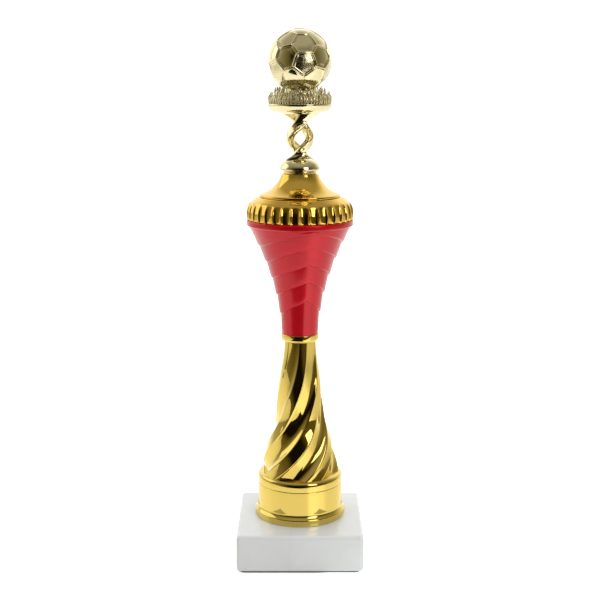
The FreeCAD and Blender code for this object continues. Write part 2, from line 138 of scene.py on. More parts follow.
def clear_selection():
    if bpy.context.object and bpy.context.object.mode != "OBJECT":
        bpy.ops.object.mode_set(mode="OBJECT")
    bpy.ops.object.select_all(action="DESELECT")


def start_editing():
    """Puts the active piece in edit mode and returns it."""
    piece = bpy.context.object
    bpy.ops.object.mode_set(mode="EDIT")
    return piece


def stop_editing(piece, name, smooth_angle=35):
    """Leaves edit mode, puts the piece's place in its mesh, names it and smooths its shading."""
    bpy.ops.object.mode_set(mode="OBJECT")
    bpy.ops.object.transform_apply(location=True, rotation=True, scale=True)
    bpy.ops.object.shade_smooth_by_angle(angle=math.radians(smooth_angle))
    piece.name = piece.data.name = name
    return piece


def place_of(piece, vertex):
    return piece.matrix_world @ vertex.co


def select_points(piece, test, within=None):
    """Selects the vertices whose place passes the test, and the edges and faces between them."""
    bpy.ops.mesh.select_all(action="DESELECT")
    mesh = bmesh.from_edit_mesh(piece.data)
    mesh.verts.index_update()
    for vertex in mesh.verts:
        if (within is None or vertex.index in within) and test(place_of(piece, vertex)):
            vertex.select_set(True)
    mesh.select_flush(True)
    bmesh.update_edit_mesh(piece.data)


def selected_points(piece):
    """The numbers of the selected vertices, which stay true until faces are next added."""
    mesh = bmesh.from_edit_mesh(piece.data)
    mesh.verts.index_update()
    return {vertex.index for vertex in mesh.verts if vertex.select}


def select_everything():
    bpy.ops.mesh.select_all(action="SELECT")


def everywhere(place):
    return True


def hold_edges(piece, *heights):
    """Insets the level end faces a little, so that smoothing keeps their edges crisp."""
    for height in heights:
        select_points(piece, lambda place: abs(place.z - height * MM) < 1e-5)
        bpy.ops.mesh.inset(thickness=0.2 * MM)


def close_up(join=1e-6):
    """Merges doubles and points every face outwards."""
    select_everything()
    bpy.ops.mesh.remove_doubles(threshold=join)
    bpy.ops.mesh.normals_make_consistent(inside=False)


def extrude_by(x, y, z):
    bpy.ops.mesh.extrude_region_move(TRANSFORM_OT_translate={"value": (x, y, z)})


def subdivide_smooth(piece, levels):
    bpy.context.view_layer.objects.active = piece
    smoother = piece.modifiers.new("Smooth surface", "SUBSURF")
    smoother.levels = smoother.render_levels = levels
    smoother.use_limit_surface = False
    bpy.ops.object.modifier_apply(modifier=smoother.name)


def join_pieces(pieces, name):
    clear_selection()
    for piece in pieces:
        piece.select_set(True)
    bpy.context.view_layer.objects.active = pieces[0]
    bpy.ops.object.join()
    pieces[0].name = pieces[0].data.name = name
    return pieces[0]


def eased(outline, cuts=4):
    """The outline's (radius, height, rounding) corners in mm as points, each corner rounded off."""
    points = []
    for k, (radius, height, rounding) in enumerate(outline):
        corner = Vector((radius, height))
        if not rounding or k in (0, len(outline) - 1):
            points.append(corner)
            continue
        before = Vector(outline[k - 1][:2]) - corner
        after = Vector(outline[k + 1][:2]) - corner
        a = corner + before.normalized() * min(rounding, before.length * 0.49)
        b = corner + after.normalized() * min(rounding, after.length * 0.49)
        for step in range(cuts + 1):
            t = step / cuts
            points.append(a * (1 - t) ** 2 + corner * 2 * t * (1 - t) + b * t * t)
    return points


def flowing(stops, steps=5):
    """(radius, height, 0) points of a smooth line through (radius, height) stops."""
    line = []
    last = len(stops) - 1
    for k in range(last):
        a, b, c, d = (Vector(stops[min(max(i, 0), last)]) for i in (k - 1, k, k + 1, k + 2))
        for step in range(steps):
            t = step / steps
            point = b + (c - a) * t / 2 + (a * 2 - b * 5 + c * 4 - d) * t * t / 2
            point += (b * 3 - a - c * 3 + d) * t ** 3 / 2
            line.append((point.x, point.y, 0))
    line.append((*stops[-1], 0))
    return line


def turned(name, outline, steps=144, smooth_angle=35):
    """A piece turned about the rod's axis from a closed outline in mm, as on a lathe."""
    points = eased(outline)
    clear_selection()
    start = (ROD_X + points[0].x * MM, ROD_Y, points[0].y * MM)
    bpy.ops.mesh.primitive_plane_add(size=1 * MM, location=start)
    piece = start_editing()
    bpy.ops.mesh.merge(type="CENTER")
    for here, there in zip(points, points[1:] + points[:1]):
        extrude_by((there.x - here.x) * MM, 0, (there.y - here.y) * MM)
    select_everything()
    bpy.ops.mesh.remove_doubles(threshold=1e-6)
    select_everything()
    bpy.ops.mesh.spin(
        steps=steps, angle=2 * math.pi, center=(ROD_X, ROD_Y, 0), axis=(0, 0, 1))
    close_up()
    return stop_editing(piece, name, smooth_angle)


def through(stops, at):
    """The value at a place on the straight lines through (place, value) stops."""
    for (p0, v0), (p1, v1) in zip(stops, stops[1:]):
        if at <= p1:
            share = min(1.0, max(0.0, (at - p0) / (p1 - p0)))
            return v0 + (v1 - v0) * share
    return stops[-1][1]


def softly_through(stops, at, blur=1.4):
    """The value on the same lines with their corners rounded off."""
    return (through(stops, at - blur) + 2 * through(stops, at) + through(stops, at + blur)) / 4


def angle_of(place):
    return math.atan2(place.y - ROD_Y, place.x - ROD_X)


def widen(factor):
    """Moves what is selected out from, or in to, the rod's axis."""
    bpy.ops.transform.resize(value=(factor, factor, 1), center_override=(ROD_X, ROD_Y, 0))


def wind(angle, centre=(ROD_X, ROD_Y, 0)):
    """Turns what is selected about an upright axis, counted from above."""
    bpy.ops.transform.rotate(value=-angle, orient_axis="Z", center_override=centre)


def at_phase(repeats, phase, turn=0.0):
    """A test for points that stand at one phase of a pattern repeated round the rod's axis."""
    def test(place):
        offset = (angle_of(place) - turn) * repeats / (2 * math.pi) - phase
        return abs(offset - round(offset)) < 0.009
    return test


def start_pattern_ring(repeats, phases, radius, height):
    """A level disc in edit mode whose points stand at the phases of a repeated pattern."""
    clear_selection()
    bpy.ops.mesh.primitive_circle_add(
        vertices=repeats * len(phases), radius=radius * MM, fill_type="NGON",
        location=(ROD_X, ROD_Y, height * MM))
    piece = start_editing()
    wind(-math.pi / 2)
    ring = selected_points(piece)
    groups = []
    for k, phase in enumerate(phases):
        select_points(piece, at_phase(repeats, k / len(phases)), ring)
        groups.append((selected_points(piece), phase - k / len(phases)))
    for group, shift in groups:
        select_points(piece, everywhere, group)
        wind(shift * 2 * math.pi / repeats)
    return piece, ring


def finish_piece(piece, body, slot, *nodes, finish=None):
    """Ties the piece to the frame, and gives it its slot's material unless it has one already."""
    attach(piece, body)
    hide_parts(*nodes)
    if not piece.data.materials:
        piece.data.materials.append(finishes()[finish or slot])


# ---------------------------------------------------------------- material tools


class Wiring:
    """Short ways to add the nodes of one tree, with their values and links."""

    def __init__(self, tree):
        self.tree = tree

    def feed(self, value, socket):
        """Links the socket when the value is another node's output, and sets it otherwise."""
        if isinstance(value, bpy.types.NodeSocket):
            self.tree.links.new(value, socket)
        else:
            socket.default_value = value

    def node(self, kind, inputs=None, **settings):
        node = self.tree.nodes.new("ShaderNode" + kind)
        for key, value in settings.items():
            setattr(node, key, value)
        for key, value in (inputs or {}).items():
            self.feed(value, node.inputs[key])
        return node

    def noise(self, place, scale, detail=2):
        return self.node("TexNoise", {"Vector": place, "Scale": scale, "Detail": detail}).outputs

    def math(self, operation, *values):
        return self.node("Math", dict(enumerate(values)), operation=operation).outputs[0]

    def mixed(self, share, first, second, blend="MIX"):
        inputs = {"Factor": share, "A": first, "B": second}
        return self.node("Mix", inputs, data_type="RGBA", blend_type=blend).outputs["Result"]

    def spread(self, value, low, high, start=0, end=1, **settings):
        """The value's run from start to end, spread from low to high."""
        inputs = {"Value": value, "From Min": start, "From Max": end, "To Min": low, "To Max": high}
        return self.node("MapRange", inputs, **settings).outputs["Result"]

    def ramp(self, share, stops):
        """The colour at a share of the way through (place, colour) stops."""
        node = self.node("ValToRGB", {"Fac": share})
        elements = node.color_ramp.elements
        for element, (place, tone) in zip((elements[0], elements[1]), (stops[0], stops[-1])):
            element.position, element.color = place, tone
        for place, tone in stops[1:-1]:
            elements.new(place).color = tone
        return node.outputs["Color"]

    def bump(self, height, strength, distance, **settings):
        inputs = {"Height": height, "Strength": strength, "Distance": distance}
        return self.node("Bump", inputs, **settings).outputs["Normal"]


class Finish(Wiring):
    """A material with one Principled shader."""

    def __init__(self, name):
        self.material = bpy.data.materials.new(name)
        self.material.use_nodes = True
        super().__init__(self.material.node_tree)
        self.tree.nodes.clear()
        self.shader = self.node("BsdfPrincipled")
        self.node("OutputMaterial", {0: self.shader.outputs[0]})

    def set(self, **sockets):
        """Feeds the shader's sockets, with their spaces written as underscores."""
        for key, value in sockets.items():
            self.feed(value, self.shader.inputs[key.replace("_", " ")])

    def place(self):
        return self.node("TexCoord").outputs["Object"]


def toned(tint, share=1.0):
    """The tint made darker or lighter, with its alpha."""
    return (*[min(1.0, part * share) for part in tint], 1)


def new_group(name, inputs, outputs):
    group = bpy.data.node_groups.new(name, "ShaderNodeTree")
    for direction, sockets in (("INPUT", inputs), ("OUTPUT", outputs)):
        for socket_name, kind, default in sockets:
            socket = group.interface.new_socket(
                name=socket_name, in_out=direction, socket_type="NodeSocket" + kind)
            if default is not None:
                socket.default_value = default
    return group, group.nodes.new("NodeGroupInput").outputs, group.nodes.new("NodeGroupOutput").inputs


def plating_group():
    """Colour, roughness and tiny unevenness of a bright metallised moulding."""
    if "Metallised plating" in bpy.data.node_groups:
        return bpy.data.node_groups["Metallised plating"]
    group, given, result = new_group(
        "Metallised plating",
        [("Place", "Vector", None), ("Colour", "Color", (0.8, 0.6, 0.14, 1)),
         ("Roughness", "Float", 0.08), ("Clouding", "Float", 0.5), ("Waviness", "Float", 0.2)],
        [("Colour", "Color", None), ("Roughness", "Float", None), ("Normal", "Vector", None)])
    wiring = Wiring(group)
    cloud = wiring.noise(given["Place"], 65, 3)["Fac"]
    amount = wiring.math("MULTIPLY", cloud, given["Clouding"])
    clouded = wiring.mixed(amount, given["Colour"], (0.88, 0.83, 0.74, 1), "MULTIPLY")
    wiring.feed(clouded, result["Colour"])
    speck = wiring.noise(given["Place"], 900, 4)["Fac"]
    uneven = wiring.spread(speck, 0.75, 1.5, 0.35, 0.75)
    wiring.feed(wiring.math("MULTIPLY", uneven, given["Roughness"]), result["Roughness"])
    wave = wiring.noise(given["Place"], 110, 1)["Fac"]
    wiring.feed(wiring.bump(wave, given["Waviness"], 0.12 * MM), result["Normal"])
    return group


def plated(name, tint, roughness, clouding, waviness, metallic=1.0):
    finish = Finish(name)
    plating = finish.node("Group", {
        "Place": finish.place(), "Colour": toned(tint), "Roughness": roughness,
        "Clouding": clouding, "Waviness": waviness}, node_tree=plating_group()).outputs
    finish.set(
        Metallic=metallic, Base_Color=plating["Colour"], Roughness=plating["Roughness"],
        Normal=plating["Normal"])
    return finish


def stippled(name, tint):
    """Pale gold with the fine raised stipple of the ball's five-sided panels."""
    finish = plated(name, tint, 0.24, 0.9, 0.2)
    dots = finish.node("TexVoronoi", {"Vector": finish.place(), "Scale": 1250}).outputs["Distance"]
    finish.set(Normal=finish.bump(dots, 0.4, 0.12 * MM, invert=True))
    return finish


def lacquered(name, tint):
    """Satin metallic lacquer with fine flake and a faint drift in its shade."""
    finish = Finish(name)
    place = finish.place()
    drift = finish.noise(place, 40, 3)["Fac"]
    flake = finish.noise(place, 3000)["Fac"]
    finish.set(
        Metallic=0.42, Specular_IOR_Level=0.2, Coat_Weight=0.55, Coat_Roughness=0.12,
        Base_Color=finish.ramp(drift, [(0.3, toned(tint, 0.86)), (0.7, toned(tint, 1.1))]),
        Roughness=finish.spread(flake, 0.28, 0.40), Normal=finish.bump(flake, 0.08, 0.05 * MM))
    return finish


def polished_marble(name, tint):
    """White stone with soft grey clouds and a few thin veins, polished."""
    finish = Finish(name)
    place = finish.place()
    bent = finish.mixed(0.03, place, finish.noise(place, 22, 4)["Color"], "LINEAR_LIGHT")
    cloud = finish.noise(bent, 30, 5)["Fac"]
    ground = finish.ramp(cloud, [(0.3, toned(tint, 0.93)), (0.62, toned(tint))])
    cells = finish.node("TexVoronoi", {"Vector": bent, "Scale": 26}, feature="DISTANCE_TO_EDGE")
    vein = finish.spread(cells.outputs["Distance"], 0.06, 0, 0, 0.05)
    finish.set(
        Specular_IOR_Level=0.6, Coat_Weight=0.6, Coat_Roughness=0.06,
        Base_Color=finish.mixed(vein, ground, (0.36, 0.37, 0.38, 1)),
        Roughness=finish.spread(cloud, 0.24, 0.4))
    return finish


def short_felt(name, tint):
    finish = Finish(name)
    fibre = finish.noise(finish.place(), 2200, 4)["Fac"]
    finish.set(
        Roughness=0.95, Sheen_Weight=0.4, Sheen_Roughness=0.5,
        Base_Color=finish.ramp(fibre, [(0, toned(tint, 0.5)), (1, toned(tint, 2.2))]),
        Normal=finish.bump(fibre, 0.7, 0.3 * MM))
    return finish


# Platings by name: material, colour, roughness, clouding, waviness and how metallic each is.
PLATINGS = {
    "bright_gold": ("bright_gold_plating", "bright_gold", 0.045, 0.35, 0.12, 1.0),
    "warm_gold": ("warm_gold_plating", "warm_gold", 0.09, 0.5, 0.2, 1.0),
    "pale_gold": ("pale_gold_plating", "pale_gold", 0.09, 0.4, 0.08, 1.0),
    "grass_gold": ("grass_gold_plating", "pale_gold", 0.12, 0.3, 0.1, 0.72),
    "pale_ring": ("pale_ring_plating", "pale_gold", 0.22, 0.4, 0.1, 1.0),
    "zinc_steel": ("bright_zinc", "zinc", 0.25, 0.5, 0.3, 1.0),
    "insert_brass": ("turned_brass", "brass", 0.25, 0.5, 0.2, 1.0)}
FINISHES = {}


def finishes():
    """Every material by name, made once."""
    if not FINISHES:
        tints = bpy.context.scene.trophy_colours
        made = {
            slot: plated(name, getattr(tints, tint), *amounts)
            for slot, (name, tint, *amounts) in PLATINGS.items()}
        made["stippled_gold"] = stippled("stippled_gold_plating", tints.pale_gold)
        made["red_lacquer"] = lacquered("satin_red_lacquer", tints.lacquer)
        made["white_marble"] = polished_marble("polished_white_marble", tints.marble)
        made["dark_felt"] = short_felt("short_dark_felt", tints.felt)
        FINISHES.update({slot: finish.material for slot, finish in made.items()})
    return FINISHES


# ---------------------------------------------------------------- pieces


class TROPHY_OT_cad_finishes(bpy.types.Operator):
    """Gives the carried-over nodes of the frame their own finishes"""
    bl_idname = "trophy.cad_finishes"
    bl_label = "Finish the frame's own nodes"

    def execute(self, context):
        made = finishes()
        for part in frame["record"]["subparts"]:
            mesh = frame["nodes"][part["node"]].data
            mesh.materials.clear()
            mesh.materials.append(made[part["material_slot"]])
        return {"FINISHED"}


EDGE_ROUND = 2.0 * MM
NUT_RECESS_RADIUS = 12 * MM
NUT_RECESS_TOP = 11.6 * MM


class TROPHY_OT_block(bpy.types.Operator):
    """Square stone block with rounded edges and a recess for the nut"""
    bl_idname = "trophy.block"
    bl_label = "Stone block"

    def execute(self, context):
        low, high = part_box("marble_base")
        size = high - low
        clear_selection()
        bpy.ops.mesh.primitive_cube_add(size=1, location=(low + high) / 2, scale=size)
        block = start_editing()
        bpy.ops.mesh.bevel(offset=EDGE_ROUND, segments=6, profile=0.5, affect="EDGES")
        stop_editing(block, "stone_block", 30)
        for radius, top in ((NUT_RECESS_RADIUS, NUT_RECESS_TOP), (BORE * MM, high.z + 1 * MM)):
            clear_selection()
            depth = top - low.z + 1 * MM
            bpy.ops.mesh.primitive_cylinder_add(
                vertices=64, radius=radius, depth=depth, location=(ROD_X, ROD_Y, top - depth / 2))
            drill = bpy.context.object
            context.view_layer.objects.active = block
            bore = block.modifiers.new("Bore", "BOOLEAN")
            bore.object, bore.operation, bore.solver = drill, "DIFFERENCE", "EXACT"
            bpy.ops.object.modifier_apply(modifier=bore.name)
            bpy.data.objects.remove(drill)
        clear_selection()
        block.select_set(True)
        context.view_layer.objects.active = block
        bpy.ops.object.shade_smooth_by_angle(angle=math.radians(30))
        finish_piece(block, "trophy_body", "white_marble", "marble_base")
        return {"FINISHED"}


# Lengths of the rod's two threads, in mm.
LOWER_THREAD = 14
UPPER_THREAD = 24


class TROPHY_OT_tie_rod(bpy.types.Operator):
    """Long rod through the stack, with a real thread on both ends"""
    bl_idname = "trophy.tie_rod"
    bl_label = "Tie rod"

    def execute(self, context):
        low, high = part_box("tie_rod")
        pitch = context.scene.trophy_sizes.thread_pitch
        radius = (high.x - low.x) / 2
        core = radius - 0.55 * pitch
        bottom, top = low.z / MM, high.z / MM
        shank_bottom, shank_top = bottom + LOWER_THREAD, top - UPPER_THREAD
        shank = turned("shank", [
            (0, shank_bottom, 0), (core / MM + 0.15, shank_bottom, 0), (radius / MM, shank_bottom + 0.4, 0),
            (radius / MM, shank_top - 0.4, 0), (core / MM + 0.15, shank_top, 0), (0, shank_top, 0)], 48)
        parts = [shank]
        for start, end in ((bottom, shank_bottom), (shank_top, top)):
            parts.append(turned("core", [
                (0, start, 0), (core / MM - 0.3, start, 0), (core / MM, start + 0.4, 0),
                (core / MM, end - 0.4, 0), (core / MM - 0.3, end, 0), (0, end, 0)], 48))
            parts.append(self.thread(core, radius, pitch, start * MM, end * MM))
        rod = join_pieces(parts, "tie_rod_threaded")
        finish_piece(rod, "trophy_body", "zinc_steel", "tie_rod")
        return {"FINISHED"}

    def thread(self, core, radius, pitch, start, end):
        """A three-sided ridge wound up the rod between two heights, with closed ends."""
        turns = int((end - start - 1.6 * pitch) / pitch)
        foot = start + 0.8 * pitch
        clear_selection()
        bpy.ops.mesh.primitive_plane_add(size=1 * MM, location=(ROD_X + radius, ROD_Y, foot))
        ridge = start_editing()
        bpy.ops.mesh.merge(type="CENTER")
        inside = radius - core + 0.1 * MM
        extrude_by(-inside, 0, 0.44 * pitch)
        extrude_by(0, 0, -0.88 * pitch)
        extrude_by(inside, 0, 0.44 * pitch)
        select_everything()
        bpy.ops.mesh.remove_doubles(threshold=1e-6)
        bpy.ops.object.mode_set(mode="OBJECT")
        bpy.context.scene.cursor.location = (ROD_X, ROD_Y, 0)
        bpy.ops.object.origin_set(type="ORIGIN_CURSOR")
        winding = ridge.modifiers.new("Thread", "SCREW")
        winding.axis, winding.angle, winding.screw_offset = "Z", 2 * math.pi, pitch
        winding.iterations, winding.steps, winding.render_steps = turns, 32, 32
        bpy.ops.object.modifier_apply(modifier=winding.name)
        bpy.ops.object.mode_set(mode="EDIT")
        for height in (foot, foot + turns * pitch):
            bpy.ops.mesh.select_all(action="DESELECT")
            bpy.ops.mesh.select_mode(type="VERT")
            bpy.ops.mesh.select_non_manifold()
            ends = selected_points(ridge)
            select_points(ridge, lambda place: abs(place.z - height) < 0.5 * pitch, ends)
            bpy.ops.mesh.edge_face_add()
        close_up()
        return stop_editing(ridge, "thread_ridge", 40)


class TROPHY_OT_cup(bpy.types.Operator):
    """Flanged cup on the block, turned with its hub and its centring lip"""
    bl_idname = "trophy.cup"
    bl_label = "Flanged cup"

    def execute(self, context):
        bottom, lip, flange = span_of("base_cup")
        wall, top = flange - 1.65, lip - 3
        cup = turned("flanged_cup", [
            (BORE, bottom, 0), (flange, bottom, 0.35), (flange, bottom + 3.6, 0.5),
            (wall + 0.9, bottom + 4.3, 0.7), (wall + 0.12, bottom + 5.4, 0.5), (wall, bottom + 6.4, 0.4),
            (wall, top, 0.3), (wall - 2.2, top, 0), (wall - 2.2, lip, 0.3), (wall - 4.2, lip, 0.3),
            (wall - 4.2, bottom + 3, 0.8), (7, bottom + 3, 0.8), (7, bottom + 13, 0.4),
            (BORE, bottom + 13, 0.2)], 160)
        finish_piece(cup, "trophy_body", "bright_gold", "base_cup")
        return {"FINISHED"}


# Radius over the stem's ribs and depth of its channels, by height over the stem's foot, in mm.
RIB_RADIUS = [
    (5, 22.3), (11, 21.4), (19, 19.6), (25, 17.9), (31, 15.8), (37, 14.0),
    (44, 13.4), (52, 12.9), (60, 11.7), (67, 10.6), (73, 9.5), (82.3, 9.0)]
CHANNEL_DEPTH = [(5, 2.8), (29, 2.6), (54, 1.7), (73, 0.8), (82.3, 0.5)]
COLUMN_LEVELS = [9, 13, 17.5, 22, 26, 30, 33.5, 37, 41, 47, 53, 59, 65, 71, 77]
# Share of the channel's depth across one rib and channel: a flat rib, a step, a slow fall, a rise.
CHANNEL_SHARE = [
    (0.0, 0.0), (0.03, 0.0), (0.18, 0.03), (0.33, 0.0), (0.36, 0.03), (0.395, 0.36),
    (0.43, 0.42), (0.60, 0.78), (0.77, 1.0), (0.89, 0.74), (0.97, 0.12)]


class TROPHY_OT_stem(bpy.types.Operator):
    """Column of ribs that twist as they spread into a round-shouldered skirt"""
    bl_idname = "trophy.stem"
    bl_label = "Twisted stem"

    def execute(self, context):
        sizes = context.scene.trophy_sizes
        bottom, top, skirt = span_of("twisted_stem")
        shoulder = bottom + 5.8
        heights = [
            shoulder - 0.8, shoulder + 0.4, *[bottom + level for level in COLUMN_LEVELS], top - 0.3, top]
        foot_radius = through(RIB_RADIUS, heights[0] - bottom)

        def turn_at(height):
            share = max(0.0, (top - height) / (top - shoulder))
            return math.radians(-18) - sizes.stem_twist * share ** 1.7

        phases = [phase for phase, share in CHANNEL_SHARE]
        column, ring = start_pattern_ring(
            sizes.rib_count, phases, foot_radius, heights[0])
        select_everything()
        wind(turn_at(heights[0]))
        radii = [foot_radius] * len(phases)
        for k, height in enumerate(heights):
            turn = turn_at(height)
            if k:
                bpy.ops.mesh.select_all(action="DESELECT")
                select_points(column, everywhere, ring)
                extrude_by(0, 0, (height - heights[k - 1]) * MM)
                wind(turn - turn_at(heights[k - 1]))
                ring = selected_points(column)
            rib = through(RIB_RADIUS, height - bottom)
            depth = through(CHANNEL_DEPTH, height - bottom)
            for n, (phase, share) in enumerate(CHANNEL_SHARE):
                select_points(column, at_phase(sizes.rib_count, phase, turn), ring)
                widen((rib - depth * share) / radii[n])
                radii[n] = rib - depth * share
        hold_edges(column, heights[0], heights[-1])
        close_up()
        stop_editing(column, "stem_column", 40)
        subdivide_smooth(column, 3)
        bpy.ops.object.shade_smooth_by_angle(angle=math.radians(60))
        foot = turned("stem_skirt", [
            (skirt - 2.1, bottom, 0), (skirt, bottom, 0.3), (skirt, shoulder, 3.4),
            (skirt - 5.5, shoulder, 0.5), (skirt - 5.5, shoulder - 2, 0),
            (skirt - 2.1, shoulder - 2.4, 0)], 160)
        stem = join_pieces([column, foot], "twisted_stem_ribs")
        finish_piece(stem, "trophy_body", "bright_gold", "twisted_stem")
        return {"FINISHED"}


class TROPHY_OT_rings(bpy.types.Operator):
    """Round collar over the stem and the thin pale ring under the figure"""
    bl_idname = "trophy.rings"
    bl_label = "Stem ring and neck ring"

    def execute(self, context):
        bottom, top, edge = span_of("stem_ring")
        ring = turned("stem_collar", [
            (BORE, bottom, 0), (edge - 0.9, bottom, 0.3), (edge, bottom + 0.9, 0.6), (edge, top, 0.4),
            (BORE, top, 0)])
        finish_piece(ring, "trophy_body", "bright_gold", "stem_ring")
        bottom, top, edge = span_of("neck_ring")
        ring = turned("neck_spacer", [
            (BORE, bottom, 0), (edge, bottom, 0.55), (edge, top, 0.55), (BORE, top, 0)])
        finish_piece(ring, "trophy_body", "pale_ring", "neck_ring")
        return {"FINISHED"}


# Heights of each chevron edge's valley and peak over the body's foot, from the lowest up, in mm.
CHEVRONS = [(11.9, 20.3), (22.6, 31.4), (32.2, 41.3), (41.4, 51.2), (50.4, 59.9)]
FOOT_RADIUS = 10.1
FLARE = 18.1
# How far up a new loop starts before its points go to their own heights, in mm.
NUDGE = 0.01
CHEVRON_PEAK = math.radians(-74)
CHEVRON_LIP = [(-0.34, -0.36), (-0.16, 0.12), (0.06, 0.36), (0.5, 0.40)]


class TROPHY_OT_flared_body(bpy.types.Operator):
    """Flared body with overlapping chevron tiers and a rolled rim"""
    bl_idname = "trophy.flared_body"
    bl_label = "Flared body"

    def execute(self, context):
        self.foot, top, rim = span_of("flared_body")
        self.neck = top - 3
        clear_selection()
        bpy.ops.mesh.primitive_circle_add(
            vertices=72, radius=FOOT_RADIUS * MM, fill_type="NGON",
            location=(ROD_X, ROD_Y, self.foot * MM))
        body = start_editing()
        wind(CHEVRON_PEAK)
        steps = [k / 18 for k in range(19)]
        here = [(FOOT_RADIUS, self.foot)] * len(steps)
        for loop in self.loops():
            extrude_by(0, 0, NUDGE * MM)
            ring = selected_points(body)
            there = [loop(step) for step in steps]
            for step, (r0, z0), (r1, z1) in zip(steps, here, there):
                select_points(body, self.off_peak(step), ring)
                widen(r1 / r0)
                bpy.ops.transform.translate(value=(0, 0, (z1 - z0 - NUDGE) * MM))
            select_points(body, everywhere, ring)
            here = there
        close_up()
        stop_editing(body, "chevron_shell", 24)
        band = turned("body_rim", [
            (26.4, self.neck - 0.4, 0), (27.9, self.neck - 0.4, 0.2), (rim, self.neck + 0.25, 0.45),
            (rim, top, 0.45), (26.4, top, 0.2)], 160, 50)
        body = join_pieces([body, band], "flared_chevron_body")
        finish_piece(body, "trophy_body", "red_lacquer", "flared_body")
        return {"FINISHED"}

    def off_peak(self, step):
        """A test for the points at one angle away from the chevrons' two peaks."""
        def test(place):
            away = abs(math.remainder(angle_of(place) - CHEVRON_PEAK, math.pi)) / (math.pi / 2)
            return abs(away - step) < 0.01
        return test

    def flare(self, height):
        share = max(0.0, (height - self.foot) / (self.neck - self.foot))
        return FOOT_RADIUS + FLARE * share ** 1.8

    def edge(self, tier, step):
        """Height of a chevron edge at one step away from its peak, with a round valley."""
        valley, peak = CHEVRONS[tier]
        slope = 1 - step
        softened = slope if slope > 0.2 else 0.1 + slope ** 2 / 0.4
        return self.foot + valley + (peak - valley) * (softened - 0.1) / 0.9

    def loops(self):
        """Functions from a step away from the peak to (radius, height), from the foot up."""
        def level(height):
            return lambda step: (self.flare(height), height)

        def lip(tier, rise, out):
            return lambda step: (
                self.flare(self.edge(tier, step) + rise) + out, self.edge(tier, step) + rise)

        def between(lower, upper, share, swell):
            def loop(step):
                z = lower(step)[1] * (1 - share) + upper(step)[1] * share
                return self.flare(z) + swell, z
            return loop

        made = []
        last = level(self.foot)
        for tier in range(len(CHEVRONS)):
            lips = [lip(tier, rise, out) for rise, out in CHEVRON_LIP]
            made += [between(last, lips[0], 0.3, 0.22), between(last, lips[0], 0.65, 0.0)]
            made += lips
            last = lips[-1]
        end = level(self.neck)
        return made + [between(last, end, 0.5, 0.1), end]


# Radius over the lid's ridges and depth of its flutes, by height over the red body, in mm.
LID_PROFILE = [
    (0.0, 28.9), (0.8, 29.25), (2.0, 29.4), (4.0, 29.45), (5.7, 29.3), (7.4, 28.8),
    (9.0, 28.0), (10.0, 27.1), (11.0, 25.8), (11.9, 24.4), (12.4, 23.8), (12.6, 23.2)]
FLUTE_DEPTH = [
    (0.0, 0.8), (1.6, 0.95), (5.7, 0.95), (7.4, 0.9), (9.0, 0.55), (10.0, 0), (12.6, 0)]
# Share of a flute's depth across it: a thin ridge, then a broad shallow scoop.
FLUTE_SHARE = [
    (0.0, 0.0), (0.05, 0.2), (0.13, 0.68), (0.3, 0.95), (0.5, 1.0), (0.7, 0.95), (0.87, 0.68), (0.95, 0.2)]


class TROPHY_OT_lid(bpy.types.Operator):
    """Fluted dome and the thin cap that sweeps up from it to the neck"""
    bl_idname = "trophy.lid"
    bl_label = "Lid and cap"

    def execute(self, context):
        self.fluted_dome(context.scene.trophy_sizes.flute_count)
        bottom, top, edge = span_of("lid_cap")
        sweep = flowing([
            (edge - 0.5, bottom + 1.5), (18.2, bottom + 3.0), (15.2, bottom + 4.9), (12.6, bottom + 7.8),
            (11.1, bottom + 10.2), (10.05, top)])
        cap = turned("lid_sweep", [
            (edge - 2.4, bottom, 0), (edge - 0.1, bottom, 0.4), (edge, bottom + 1.25, 0.5), *sweep,
            (BORE, top, 0), (BORE, top - 2, 0), (8.2, top - 2, 0.5), (9.4, top - 4.8, 1),
            (12, bottom + 4.4, 1), (16, bottom + 2, 1)], 160, 50)
        finish_piece(cap, "trophy_body", "warm_gold", "lid_cap")
        return {"FINISHED"}

    def fluted_dome(self, flutes):
        foot = span_of("flared_body")[1]
        phases = [phase for phase, share in FLUTE_SHARE]
        dome, ring = start_pattern_ring(flutes, phases, LID_PROFILE[0][1], foot)
        radii = [LID_PROFILE[0][1]] * len(phases)
        for k, (height, rib) in enumerate(LID_PROFILE):
            if k:
                select_points(dome, everywhere, ring)
                extrude_by(0, 0, (height - LID_PROFILE[k - 1][0]) * MM)
                ring = selected_points(dome)
            for n, (phase, share) in enumerate(FLUTE_SHARE):
                radius = rib - through(FLUTE_DEPTH, height) * share
                select_points(dome, at_phase(flutes, phase), ring)
                widen(radius / radii[n])
                radii[n] = radius
        hold_edges(dome, foot, foot + LID_PROFILE[-1][0])
        close_up()
        stop_editing(dome, "fluted_dome", 60)
        subdivide_smooth(dome, 2)
        finish_piece(dome, "trophy_body", "warm_gold", "fluted_lid")


# Distance of a strand's middle from the axis and half its width, by height over the collar's foot.
STRAND_REACH = [
    (5.8, 5.2), (7.2, 3.8), (9.1, 2.2), (13.1, 4.3), (17.6, 5.3), (22.1, 4.3), (26.1, 2.1),
    (28.1, 2.7), (29.6, 4.0), (31.0, 5.4)]
STRAND_WIDE = [
    (5.8, 4.2), (9.1, 3.5), (13.1, 3.9), (17.6, 4.1), (22.1, 3.9), (26.1, 4.0), (28.1, 3.8),
    (29.6, 5.4), (31.0, 7.4)]
# How far a strand has gone round by the same heights, in quarter turns from its widest place.
STRAND_TURN = [(5.8, -1.8), (7.2, -1.35), (9.1, -1), (17.6, 0), (26.1, 1), (28.1, 1.45), (31.0, 1.9)]
# The flat of a strand turns with it, but no further than this many quarter turns.
FLAT_TURN = 1.1
# A strand's outline is a round one with its four corners pushed out and its sides pressed in.
CORNER_PUSH = 1.14
SIDE_PRESS = 0.64
STRAND_LEVELS = 22


